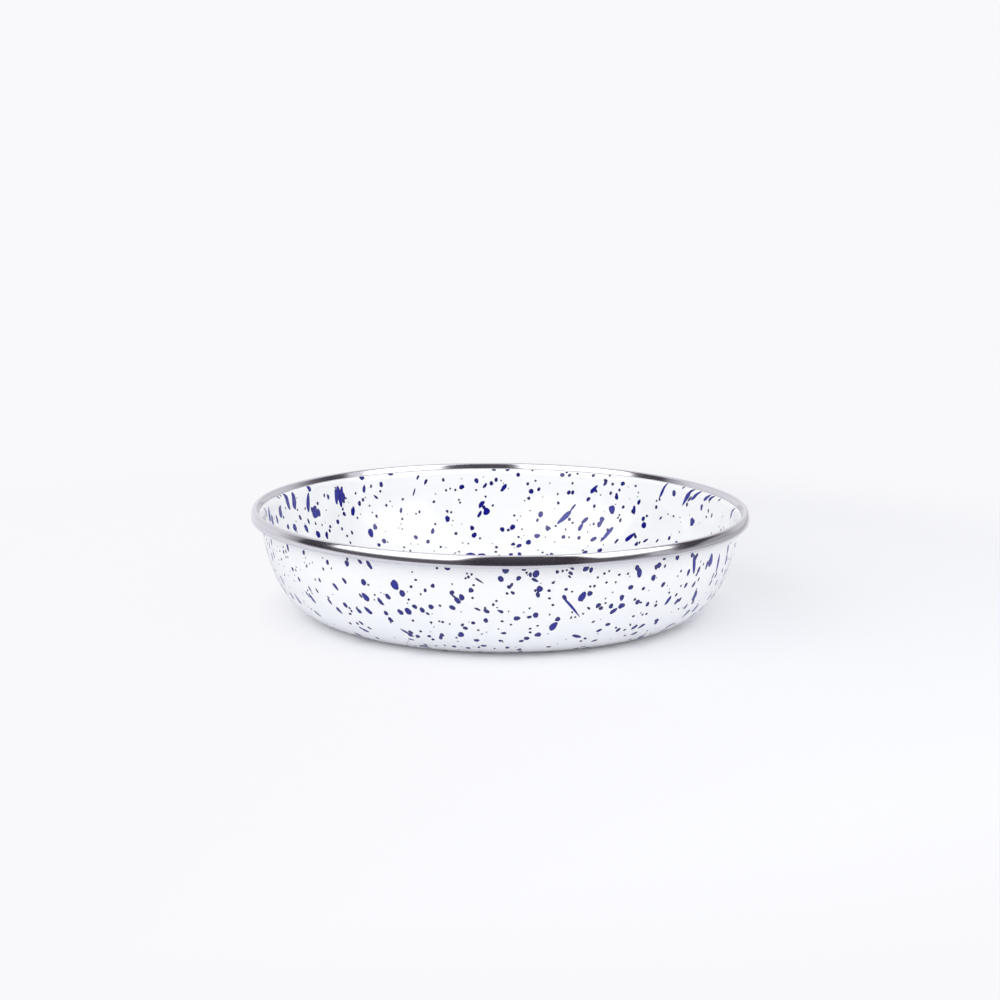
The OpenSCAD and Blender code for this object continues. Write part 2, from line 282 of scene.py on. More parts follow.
# Steel rim
# A polished strip of stainless steel, rolled to a hoop with a C section and clinched on the flared
# edge, so that its lower lip closes on the outside and its inner lip on the inside.

lip_gap = 0.02
band_low_r, band_side_r, band_high_r = 1.4, 9.0, 1.3
tuck = np.radians(25)
hoop_turns = 720
low_reach = flare_r - lip_gap
inner_reach = flare_r + wall_t + lip_gap
band_low_c = np.array([rim_r - band_low_r, bowl_h - band_h + band_low_r])
band_side_c = np.array([rim_r - band_side_r, band_low_c[1]])
side_turn = np.arcsin((bowl_h - band_high_r - band_side_c[1]) / (band_side_r - band_high_r))
band_high_c = band_side_c + (band_side_r - band_high_r) * np.array([np.cos(side_turn), np.sin(side_turn)])
lip_x = rim_r - band_w
lip = np.array([lip_x, flare_c[1] + np.sqrt(inner_reach**2 - (flare_c[0] - lip_x) ** 2)])
to_top = band_high_c - lip
rise = np.arctan2(to_top[1], to_top[0]) + np.arcsin(band_high_r / np.hypot(*to_top))


def at_flare(start, angle, reach, end):
    """Where a line from a start at an angle meets the circle at a reach from the flare's centre: the
    way along to beside the centre, plus or minus half of the chord that the line cuts"""
    way = np.array([np.cos(angle), np.sin(angle)])
    to_centre = flare_c - start
    aside = to_centre[0] * way[1] - to_centre[1] * way[0]
    return start + (to_centre @ way + end * np.sqrt(reach**2 - aside**2)) * way


def strip_face(depth):
    """One face of the strip, at a depth under its outer face: from the lower lip straight out, round
    the small bottom arc, up the wide arc of the side, over the small top arc and down to the inner lip"""
    low, _ = bend(band_low_c, band_low_r - depth, lowest - tuck, 0, 20)
    side, _ = bend(band_side_c, band_side_r - depth, 0, side_turn, 14)
    high, _ = bend(band_high_c, band_high_r - depth, side_turn, highest + rise, 24)
    low_lip = at_flare(low[0], np.pi - tuck, low_reach, 1)
    inner_lip = at_flare(high[-1], np.pi + rise, inner_reach, -1)
    under = low_lip + np.linspace(0, 1, 5)[:-1, None] * (low[0] - low_lip)
    inside = high[-1] + np.linspace(0, 1, 6)[1:, None] * (inner_lip - high[-1])
    return np.concatenate([under, low, side[1:], high[1:], inside])


def polished_steel():
    """Stainless steel drawn and polished along the strip: fine lines that run round the hoop, from
    noise on the piece's own map, whose first axis runs round and whose second runs across"""
    material, tree = new_material("rim_steel")
    mapped = node(tree, "UVMap", uv_map="round_and_across").outputs["UV"]
    stretched = node(tree, "Mapping", Vector=mapped, Scale=(3.0, 55.0, 1.0)).outputs["Vector"]
    lines = node(tree, "TexNoise", Vector=stretched, Scale=1.0, Detail=7.0).outputs["Fac"]
    where = node(tree, "TexCoord").outputs["Object"]
    patches = node(tree, "TexNoise", Vector=where, Scale=30.0, Detail=3.0)
    rough = node(tree, "MapRange", Value=patches.outputs["Fac"], To_Min=0.09, To_Max=0.16)
    tone = colours(tree, lines, (0.3, (0.53, 0.518, 0.565)), (0.7, (0.79, 0.775, 0.82)))
    bump = node(tree, "Bump", Height=lines, Strength=0.12, Distance=0.00008)
    shader = node(tree, "BsdfPrincipled", Base_Color=tone, Metallic=1.0,
                  Roughness=rough.outputs["Result"], Normal=bump.outputs["Normal"])
    show(tree, shader)
    return material


def map_round(piece, centre):
    """A UV map from place, in turns: the angle round the axis, and the angle about the section's centre.
    The corners of a face stay within half a turn of its first, so that no face crosses the map"""
    mesh = piece.data
    points = np.zeros(len(mesh.vertices) * 3, np.float32)
    mesh.vertices.foreach_get("co", points)
    x, y, z = points.reshape(-1, 3).T / MM
    corner = np.zeros(len(mesh.loops), np.int32)
    mesh.loops.foreach_get("vertex_index", corner)
    angles = np.stack([np.arctan2(x, -y), np.arctan2(z - centre[1], np.hypot(x, y) - centre[0])], -1)
    uv = (angles / (2 * np.pi))[corner].reshape(-1, 4, 2)
    uv = uv - np.round(uv - uv[:, :1])
    layer = mesh.uv_layers.new(name="round_and_across")
    layer.data.foreach_set("uv", uv.astype(np.float32).ravel())


rim_hoop = spun("rim_hoop", np.concatenate([strip_face(0), strip_face(band_t)[::-1]]), hoop_turns)
map_round(rim_hoop, (band_low_c + band_high_c) / 2)
rim_hoop.data.materials.append(polished_steel())
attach(rim_hoop, "root")
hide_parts("rim_band")

# Splatter
# Blue enamel flung on the white coat from a brush and fired with it: drops, streaks and blots, about
# 0.05 mm proud. A row is one fleck: its turn in degrees, its share of the way up the wall, its width
# and height in millimetres before it spreads in the kiln, and its lean to the right in degrees.

fleck_t = 0.05
spread, soft_edge = 1.1, 0.35
full_blue = 4.5
fleck_ior = 1.54
outside_flecks = [
    (-69.5, .89, 1.2, 3, 10), (-69.2, .796, 1.3, 4.5, 10), (-67, .93, 1.2, 3.6, -10), (-67, .83, 1, 4, -10),
    (-66.5, .62, 1.4, 5, -25), (-64, .5, 1.8, 4, -35), (-60, .5, 1.6, 6, -35), (-59.3, .9, 1.3, 1.8, -10),
    (-58.5, .865, .8, 1.2, 0), (-56.7, .95, 1.5, 3.6, -12), (-56.2, .785, 1.8, 1.8, -40),
    (-52.2, .424, 1.3, 4.6, -60), (-54.2, .715, 1.5, 2.4, -25), (-52.5, .6, 1, 3, -35),
    (-51, .575, 1.8, 5, -35), (-50.4, .66, 1, 2.8, -30), (-50, .876, .5, .5, 0), (-49.7, .955, 1.7, 2.2, 0),
    (-49.2, .86, .6, .9, -40), (-48, .88, .5, .6, 30), (-46.8, .896, .5, .6, 30),
    (-49.3, .85, .9, 1.2, -40), (-47.5, .665, 1, 2.4, -30), (-46.9, .76, .9, .9, 0),
    (-45.3, .765, 1.2, 2, -30), (-43.8, .595, 1.4, 3.2, -38), (-43.8, .63, .8, 1.6, -40),
    (-43.2, .865, 1.1, 1.3, 0), (-41.5, .925, 1.7, 2.2, -10), (-41.5, .53, 1.5, 4.2, -42),
    (-40.2, .74, 1.4, 4.2, -38), (-39.5, .42, 1.3, 1.4, -30), (-38.6, .595, 1.9, 3, -42),
    (-38, .52, 1.4, 1.2, 0), (-37.5, .575, 1, 1.2, 0), (-37.2, .55, .9, 1.4, 20), (-37, .805, 1.5, 3, -45),
    (-36.9, .435, 1.2, 1.6, -50), (-36.5, .39, 1, 2, -60), (-35.6, .945, 2, 2.8, 0),
    (-35.4, .98, 1.2, 1.6, -20), (-35.5, .45, 1.4, 2.4, -50), (-35.5, .37, 1.4, 4, -65),
    (-34.8, .57, 1.7, 3.6, -28), (-33.5, .41, 1.1, 1.9, -60), (-33, .705, 1, 2.2, -42),
    (-32, .98, 1.2, 3.4, -38), (-31.9, .585, 2.2, 4.2, -45), (-31.7, .7, 2.6, 4.6, -35),
    (-31.5, .82, 2.4, 3, -20), (-30.3, .805, .9, .9, 0), (-29.5, .96, 1.8, 3.8, -38), (-29, .73, .8, .8, 0),
    (-27.8, .68, 1.8, 3.8, -32), (-27, .585, 1.8, 2.4, -35), (-26.2, .53, 1.9, 2.6, -45),
    (-25.6, .73, 2, 2.8, -42), (-23.5, .83, 3.4, 4.6, -18), (-23.1, .61, 2.2, 2.9, -50),
    (-22.8, .42, 1.3, 6, -50), (-22.4, .34, 1, 2.4, -72), (-22.1, .4, 2, 2.4, -60),
    (-21.9, .77, 2.6, 3, -10), (-21.7, .43, 1.4, 2.6, -58), (-21.1, .625, 3, 3.2, -30),
    (-20.5, .725, 1, 1, 0), (-20.2, .39, 2.2, 1.8, -60), (-19.6, .83, 1.2, 1.2, 0),
    (-19.3, .67, 1.8, 2.3, -35), (-19, .45, 1.2, 1.1, 0), (-18.4, .885, 1.2, .8, 0),
    (-17.6, .647, 2, 2.6, -45), (-16.4, .62, .8, 2, -55), (-17.1, .405, 1.6, 1.4, -60),
    (-16.4, .81, 1, 1.9, 0), (-16.4, .37, 1.6, 1.2, -60), (-15.9, .545, 1, 1, 0),
    (-15.4, .68, 2.1, 2.3, -20), (-14.6, .85, 1.6, 1.8, -10), (-14.2, .4, 2.4, 1.7, -70),
    (-13.9, .56, .8, .8, 0), (-13.8, .43, 2, 1.8, -60), (-13.5, .985, 1, 1, 0), (-13.3, .695, 1, 1, 0),
    (-13.1, .555, 1.3, 1, 0), (-11.2, .99, 2.6, 1.8, 0), (-10.5, .685, 2, 2.7, -55),
    (-10.4, .805, 1.8, 2.2, -20), (-10, .775, .7, 2.6, -50), (-9.3, .747, 2.2, 3.2, -35),
    (-10.3, .41, .9, .9, 0), (-9.1, .445, 2.8, 2.6, 0), (-8.3, .772, 2.2, 2.8, -25),
    (-7.9, .51, 1.6, 2.1, -70), (-7.3, .92, .8, .8, 0), (-7, .955, .7, .7, 0), (-6.7, .93, 1.1, 1.1, 0),
    (-6, .95, .9, .9, 0), (-6.2, .83, 2, 2.1, 0), (-6, .56, 1.7, 1.4, 0), (-5.9, .77, .9, .9, 0),
    (-5.6, .87, .9, .9, 0), (-5.5, .39, 2.4, 1.7, 0), (-4.9, .68, .8, 2.8, -60), (-4.9, .495, .9, .9, 0),
    (-4.4, .905, .6, 4, -60), (-3.9, .32, 2.6, 1.6, 0), (-3.2, .69, .8, 1.4, 0), (-3.1, .585, 2, 2, 10),
    (-2.9, .665, 1.6, 2.6, -45), (-1.4, .72, 1.1, 1.2, 0), (-.7, .75, .9, .9, 0), (.2, .92, 2.3, 2.5, 0),
    (.2, .665, 1.2, 2.6, -60), (.3, .39, 1.9, 1.2, 0), (.6, .58, 1.1, 1, 0), (1, .47, 2.2, 1.2, 0),
    (1.2, .98, 2.6, 2.2, 0), (1.6, .81, .9, 1.2, -60), (2, .86, 1.4, 1.8, -45), (2.5, .875, 1, 2, 20),
    (2.6, .55, .9, .8, 0), (2.8, .815, 1, 2, -60), (3.9, .605, 2.5, 2.3, 0), (4, .925, 1.6, 2.2, 30),
    (5.1, .99, 1.8, 1.2, 0), (5.3, .385, 2.2, 1.4, 0), (5.7, .965, .9, .9, 0), (6.5, .95, 1.2, 2, 0),
    (6.5, .415, 2.2, 2.2, -30), (6.7, .615, 1.7, 1.5, 0), (7.1, .51, 1.1, .9, 0), (7.2, .475, 1.2, 1, 0),
    (7.5, .91, 1, 3.4, -58), (7.7, .955, 2.6, 3.2, 0), (7.7, .83, 1, 1.2, 0), (8.1, .63, 2.3, 2.6, 0),
    (8.3, .797, 1.7, 2.4, 0), (8.6, .84, 2.4, 3, 40), (8.8, .535, 1, .8, 0), (9.1, .45, 2.8, 2.3, 0),
    (10.7, .825, 1.3, 1.2, 0), (10.9, .765, 1.1, .9, 0), (11.5, .885, 1.1, 1, 0), (11.8, .71, 1.1, 1, 0),
    (12.3, .965, 1.3, 1.4, 20), (12.5, .525, 3, 4.6, 30), (12.6, .29, 2, 1.2, 0), (13.3, .587, 2, 2.4, 30),
    (13.5, .97, .9, .9, 0), (14.3, .765, 1.6, 2.8, -25), (14.4, .975, .7, .7, 0), (14.5, .83, 1.3, 1.3, 0),
    (15.1, .925, .7, 1.6, -55), (15.3, .95, 1, 2.4, -50), (15.6, .985, .8, 1.8, -60),
    (15.9, .81, .8, .8, 0), (16.2, .685, .9, 13.4, -40), (16.5, .64, .8, .8, 0), (18.4, .766, 2.7, 4.9, 18),
    (18.7, .977, 3, 1.9, -15), (18.9, .41, 1.5, 5, -62), (19.2, .62, .8, .8, 0), (19.9, .965, 1.5, 2.3, 15),
    (20, .84, .9, .9, 0), (20.1, .785, 2.3, 2.3, 0), (20.3, .665, .8, 1.8, -50), (20.6, .345, 1.4, 1, 40),
    (21, .84, 1.1, 1.1, 0), (21.4, .375, 1.6, 1.2, 40), (21.6, .905, .9, .8, 0), (22.2, .54, 1.3, 1, -30),
    (22.6, .68, 2, 2.5, 20), (23.1, .93, 1.1, .9, 0), (23.4, .655, 1.9, 1.7, 0), (23.8, .86, 1, .9, 0),
    (24.2, .945, .8, .8, 0), (24.3, .695, 1, .8, 0), (24.4, .45, 1.4, 2.5, 60), (24.4, .33, 1.2, 3, 60),
    (25.9, .664, 2.2, 2.1, 0), (26.1, .855, .8, .8, 0), (26.3, .5, 2.4, 1.5, 0), (26.8, .91, 1.2, .9, -30),
    (26.8, .617, 2, 3.6, 45), (28.3, .725, 2.1, 2.7, 20), (28.7, .655, 3.1, 2.6, 0), (29, .91, 1, .9, 0),
    (29.9, .43, 1.7, 2.6, 50), (30.2, .8, 2.3, 2.2, 0), (31.3, .945, 2, 2.8, -35),
    (32, .905, 2.4, 4.4, -10), (31.9, .42, 1.3, 1, 0), (32, .695, 1.2, 1.3, 20), (33, .668, 2.2, 2.4, 25),
    (33, .545, 1.3, 1.1, 0), (33, .465, .7, 1.6, -30), (33.2, .345, 1.2, 1, 0), (33.8, .775, 1.4, 1.6, 10),
    (34, .66, 1.1, 1, 0), (34.7, .43, 1.6, 3.4, 50), (35.7, .545, 1, 1, 0), (36, .35, 1.5, 3.6, 60),
    (36.2, .635, 1.8, 2.2, 25), (36.2, .85, 2.4, 2.6, 0), (36.6, .93, 1.8, 2.2, 0), (37.4, .94, 2, 2.8, 15),
    (36.9, .545, 1.2, 1.2, 0), (37, .43, 1.6, 3.4, 50), (38.8, .985, 1.8, 1.2, 0), (39, .61, 1.6, 1.5, 0),
    (39.2, .925, 1.1, 1.4, 10), (39.6, .78, 1.8, 2.6, 35), (41.7, .445, 2.2, 3.2, -15),
    (41.2, .46, 1.6, 1.2, 20), (42.3, .7, 1.2, 1, 0), (42.8, .63, 2.2, 4.2, 30), (42.9, .973, 2.2, 2.2, 0),
    (44.8, .86, 1, 1.2, 0), (45.2, .665, 1.2, 1.8, 20), (46, .735, 1, 1, 0), (46.4, .6, 1.9, 3.6, 35),
    (47.4, .61, 1.3, 2.4, 35), (47.7, .833, 1.7, 3.2, 12), (47.9, .73, 1.7, 2.6, 20), (48.1, .965, 2, 2, 0),
    (48.5, .52, 1, 1, 0), (49.5, .34, 1.6, 4, 50), (49, .28, 1.2, 4, 60), (49.6, .94, 1.6, 3, 18),
    (49.4, .885, 2, 9.8, -15), (49.8, .945, 1.4, 3.6, 40), (51.2, .715, 1.5, 3.2, 25),
    (51.3, .795, 1.3, 1.4, 0), (51.5, .52, 1.5, 2.8, 30), (51.5, .34, 1.2, 2, 40),
    (51.8, .83, 1.6, 3.4, 15), (52.8, .745, 1, 2, 25), (53.4, .865, .9, 1.2, 0), (53.8, .6, 2.8, 5, 10),
    (53.4, .63, 1.4, 4.5, 5), (54, .435, 1.6, 5.5, 35), (54.2, .55, 1.4, 3, 5), (55.2, .845, 1.7, 4, 12),
    (56.7, .877, 3.2, 6.8, -10), (58, .46, 2, 5, 30), (60.4, .725, 1.2, 3.2, 15), (60.4, .67, 1.3, 3.2, 25),
    (61.5, .82, 1.9, 9.8, -8), (62.3, .72, 1.6, 3, 20), (60.5, .36, 1.8, 4.6, 45), (64.2, .41, 1.6, 3, 40),
    (65, .51, 1.4, 4, 30), (65.2, .636, 1.3, 3, 10), (66.8, .9, 2, 4.8, -10), (67.5, .81, 2.2, 6.2, -12),
    (69, .484, 1.4, 3.6, 30), (71, .68, 1.6, 4.4, -5), (76.8, .54, 1.6, 5, 15),
]
inside_flecks = [
    (-92, 1.0, 2, 6, -25), (-95.5, .96, 3.6, 7, -8), (-97.6, .9, 3, 5.4, -12), (-101.5, .88, 2, 4.8, -5),
    (-104.5, .92, 3.6, 6, -4), (-104.8, .955, 2, 3, 20), (-105.3, 1.05, 1.2, 3, -30),
    (-106, .87, 1.4, 1.6, -20), (-107, 1.06, 1.4, 2, 0), (-107.5, .78, 2.4, 2.6, -10),
    (-108, .935, .9, 1.2, 0), (-109.5, .985, 3.2, 9.4, -14), (-109.2, 1.03, 2.4, 5, -25),
    (-111, .75, 3.2, 4.2, -20), (-113, .97, 4.2, 8.4, -3), (-114.8, .815, 1.6, 3.2, -25),
    (-116.4, .71, 2.4, 4.6, -25), (-117.8, .875, 1, 1.2, 0), (-118.2, .763, 1.4, 2.8, -15),
    (-119.5, .92, 2.7, 10, 8), (-120.8, 1.04, 2.4, 4.6, 5), (-120.8, .632, 3.2, 3.6, -5),
    (-121, .725, 1.2, 1.2, 0), (-121.8, .808, 5, 4.4, 0), (-120.9, .845, 2.2, 3.6, 5),
    (-122, .848, 2.2, 4.2, 0), (-123.2, .81, 2.4, 4.4, -15), (-123.4, .89, 1.5, 1.7, -10),
    (-123.5, .7, .9, .9, 0), (-124.2, .603, 2, 3.6, 5), (-125.9, .637, 1.3, 1.8, -15),
    (-126.5, .67, 1.4, 1.6, -20), (-126.4, .945, 1.1, 1.8, 10), (-127.8, .926, 1.6, 2.6, -15),
    (-129.8, .697, 1.8, 2.6, -15), (-130.7, .63, 1.2, 1.5, -15), (-130.8, .918, 2.3, 7.6, -3),
    (-131.6, .945, 2.6, 7.4, 0), (-132.1, .9, 2.4, 9.2, 0), (-132.8, .932, 2.6, 7, 6),
    (-133.3, .908, 2.2, 4.4, 0), (-133.8, .893, .9, 3.4, -60), (-133.3, .862, 1.1, 2, 0),
    (-131.8, .56, 1.2, 1.2, 0), (-132.2, .495, 1.1, 1.3, 0), (-132.5, .797, 1.1, 1.6, 0),
    (-132.7, .753, 1.8, 2.3, -20), (-133.1, .865, 1.2, 1.8, 0), (-133.9, .58, 1.3, 1.8, -20),
    (-135.9, .763, 2.2, 5.2, 12), (-137, .7, .9, 1.3, 0), (-137.6, .915, 1, 1.2, 0),
    (-138.5, .822, 1.9, 2.6, -10), (-139.8, .85, 1.2, 2, -5), (-140.3, 1.045, 2.6, 2.8, 0),
    (-140.3, .55, 3, 4.8, 5), (-140.5, .944, 1.8, 3.8, 15), (-141.7, .79, .9, .9, 0),
    (-141.9, .43, 1.9, 2, -10), (-142.2, .597, 2.2, 3.2, -5), (-142.8, .96, 1, 1.8, 0),
    (-143.4, .69, 1.3, 1.6, -10), (-144, .86, 1, 3, -50), (-144, .46, 2.2, 2.9, 0),
    (-145.6, .905, 1.1, 1.3, 0), (-146, .965, 2, 2.8, -10), (-147, .775, 1.1, 1.5, 0),
    (-149.3, 1.05, 3, 1.6, 0), (-149.9, .375, 1, 1.1, 0), (-151.3, .717, 1.3, 2.8, 18),
    (-151.3, .64, 1, 1.3, 0), (-151.5, .33, 1, 1.4, 0), (-152.2, .815, 1.2, 1.1, 0),
    (-154.5, .462, 2, 2.3, -20), (-155.7, .87, .7, 4, 20), (-155.7, .675, .9, .9, 0),
    (-156.8, .69, .8, 1.8, 10), (-157, 1, .9, 2.8, 25), (-158, .41, 1.9, 2.3, 20),
    (-159.2, .955, 1.3, 3, 20), (-160, .507, 1.7, 3.2, 20), (-161, .57, 1.2, 1.2, 0),
    (-161.6, .346, 1.2, 1.4, 0), (-164.2, .965, 1.3, 1.8, 0), (-164.8, .612, 2.4, 3.3, 0),
    (-164.9, .68, 1.2, 1.5, -15), (-164.9, .87, 1, 1.2, 0), (-166, .67, 1, 1.2, 0),
    (-166.9, .473, 1.5, 1.6, 0), (-167, .28, 1, 1, 0), (-167.5, .87, 1.1, 1.2, 0), (-168.4, .78, 1, .9, 0),
    (-168.7, .755, 1, 1, 0), (-169.3, .895, 2.2, 2.8, 45), (-170.6, .24, 5, 2.6, 0),
    (-171.8, .52, 2.1, 2.5, 0), (-172.3, .452, 2.5, 2.9, 0), (-173.3, .865, 1, 1, 0),
    (-173.4, .95, 2.1, 2.7, 0), (-174, .42, 1.1, 1.1, 0), (-174.1, .235, 3.6, 2.2, 0),
    (-174.1, .645, 1.6, 3.6, 28), (-174.7, .735, 2, 4.6, 30), (-175.4, .706, 1.6, 2.4, -40),
    (-176.1, .67, 3.6, 3.6, 20), (-175.7, .903, 1.3, 3, 28), (-175.9, .805, 1, 1, 0),
    (-177.5, .925, 1.9, 2.2, 0), (-177.9, .725, 1, 1.3, 0), (-178.2, 1.05, 2, 1.4, 0),
    (-178.7, .27, 1.4, 1.3, 0), (-178.8, .957, 1.7, 2.1, 20), (-178.9, .325, 1.5, 1.6, 10),
    (179.4, .505, 2.2, 2.6, -30), (179.1, .885, 2, 4.6, 40), (178.1, 1.05, 2, 1.6, 0),
    (177.6, .5, 1.5, 1.4, 20), (176.4, .527, 2.4, 3.2, 15), (176, .635, 1.1, 1.1, 0),
    (176, .36, 2.2, 1.8, 0), (175.2, 1.005, 1.7, 2.2, 0), (174.5, .435, 1.3, 1.2, 0),
    (174.2, .345, 2, 3, 50), (172.5, .925, 1.4, 1.5, 0), (172.1, .795, 1.5, 1.6, 10),
    (171.5, .858, 2.6, 2.4, 30), (171.4, .385, 2.6, 3, 35), (171.4, 1.05, 1.2, .8, 0),
    (169.4, .88, 1.4, 2.1, 20), (169.3, .6, 1.3, 1.6, 0), (169, .452, 2.6, 2.9, 30),
    (168.5, .654, 2.5, 3.3, 10), (166.5, .28, 1.2, 1.1, 0), (166.2, .53, 1.6, 3.4, -15),
    (165.7, .53, 1.8, 1.6, 20), (163.8, .555, 1, 1.2, 20), (163.7, .765, 1.4, 1.5, -10),
    (163.5, .265, 2, 1.8, 20), (163, 1.02, 2.1, 2.3, 0), (161.9, 1.045, 1.2, 1, 0),
    (161.6, .637, 2.6, 9.6, 45), (159.4, .73, 1, 5.2, 33), (161, 1.02, 1.4, 1.8, 20),
    (161, .458, 1.9, 2.1, 20), (160.9, .865, 1.7, 2.4, 20), (160, .95, 1, 1.3, 0),
    (160, .625, 1.4, 1.8, -10), (159.8, .868, 1.7, 2.1, 20), (158.9, .595, 1.2, 1, 0),
    (158.8, 1.04, 1.2, 1, 0), (156.3, .562, 1.9, 4.4, 15), (155.4, .625, 1.9, 4.4, 40),
    (156.2, .462, 1.8, 2, -15), (155.1, .82, 1.7, 2.6, 20), (154.2, 1.035, 1.5, 1.8, 20),
    (153.9, .342, 1, 1, 0), (153.7, .912, 1.8, 6, 38), (153.2, .905, 1.4, 2.4, -35),
    (153.1, .762, 1.3, 1.9, 15), (153, .322, 1.9, 3, 60), (152.5, .603, 1.1, 1.4, 0),
    (151.6, .464, 1.8, 4.2, 48), (150.7, .605, 2.4, 3.2, 15), (150.2, .648, 2.4, 3.6, 12),
    (150.4, .98, 1.4, 3.6, 25), (150.4, 1, 2.4, 1.4, 0), (149.5, 1.05, 1, 1.2, 0),
    (148.6, .893, 1.3, 1.8, 20), (148.4, .36, 2.2, 2.6, 45), (148.2, .975, 1.3, 1.4, 0),
    (147.6, .75, 3.6, 4.3, 0), (147.6, .527, 2.2, 9.4, 33), (147.8, .565, 1.2, 1.6, 0),
    (146.7, .87, 2, 3.3, -15), (146, .93, 1.3, 1.4, 0), (145.1, .99, 2.4, 2.2, 0), (145, .71, 1, 1, 0),
    (144.4, .665, 1.3, 2.1, 20), (144.2, .785, 1.2, 2, 30), (144, .475, 1.3, 2.8, 30),
    (141, .985, 1.2, 1.2, 0), (140.6, .775, 2, 4.2, -10), (140.9, .76, 2, 2.2, 0), (139.9, .53, 2, 7.6, 45),
    (138.2, .545, 1.5, 2.2, -30), (139.4, .848, 1.7, 2.9, 20), (137, .71, 1.9, 2.5, 10),
    (137, .48, 1.6, 2.6, 10), (136.3, .655, 2.7, 3.5, 8), (136, .74, 1.1, 1.5, 0),
    (134.2, .525, 1.2, 3, 45), (133.5, .885, 1.1, 1, 0), (133.3, .83, 1.5, 1.9, 0), (132.5, .9, 1, 1.4, 10),
    (131.7, .985, 1.5, 9.4, 25), (131, .745, .9, 2, 30), (130, .545, .9, 2.2, 30),
    (127.5, .98, 2.4, 3.2, 0), (126.4, .785, 1.3, 1, 0), (125.8, .592, 1.6, 2.2, 10),
    (124.6, 1.05, 1.2, 1.6, 0), (122.4, .57, 2, 1.8, 20), (122.4, .965, 2.2, 10, 33),
    (120.9, 1.035, 1.6, 4.6, 50), (121.9, .91, 1.4, 2.2, 0), (121, .965, 1.2, 4, 45),
    (118.6, 1.01, 1.8, 8.4, 46), (118.3, .78, 3.2, 4.6, 0), (115.3, .925, 2, 3, 10),
    (113.4, 1.02, 1.9, 6.4, 50), (112.2, .86, 1.3, 1.2, 0), (111.7, .915, 1.4, 1.8, -15),
    (111.2, 1.03, 1.8, 5.2, 50), (109.5, .89, 1.3, 2.2, 10), (107, 1.04, 1.2, 2, 30), (102, .81, 1, 2, 20),
    (95.6, 1.0, 2.4, 7, 30),
]


def scattered(rng, count, turns, runs):
    """Random flecks between two turns and two distances up the wall, as rows. Widths fall off fast from
    small to large, most flecks are a little taller than wide, and the lean changes slowly with the turn"""
    least_w, more_w, taller, most_w, most_h = 0.7, 0.6, 0.45, 3.6, 7
    sway, stray = 45, 15
    turn = rng.uniform(*turns, count)
    run = rng.uniform(*runs, count)
    width = least_w + rng.exponential(more_w, count)
    height = width * (1 + rng.exponential(taller, count))
    lean = sway * np.sin(np.radians(3 * turn)) + rng.normal(0, stray, count)
    return np.stack([turn, run / wall_run, np.minimum(width, most_w), np.minimum(height, most_h), lean], 1)


def fine_specks(rng, count, turns, runs):
    """Random tiny drops between two turns and two distances up the wall, nearly round, as rows"""
    least_w, more_w, taller, most_w, most_h, most_lean = 0.25, 0.2, 0.3, 1, 1.6, 60
    turn = rng.uniform(*turns, count)
    run = rng.uniform(*runs, count)
    width = least_w + rng.exponential(more_w, count)
    height = width * (1 + rng.exponential(taller, count))
    lean = rng.uniform(-most_lean, most_lean, count)
    return np.stack([turn, run / wall_run, np.minimum(width, most_w), np.minimum(height, most_h), lean], 1)


def strewn_on_base(rng, count):
    """Random flecks on the base, as many for each area at the middle as at the edge"""
    up, lean, least_area, most_lean = 1, 4, 0.001, 90
    rows = scattered(rng, count, (0, 360), (0, 1))
    rows[:, up] = (base_r * np.sqrt(rng.uniform(least_area, 1, count)) - base_r) / wall_run
    rows[:, lean] = rng.uniform(-most_lean, most_lean, count)
    return rows


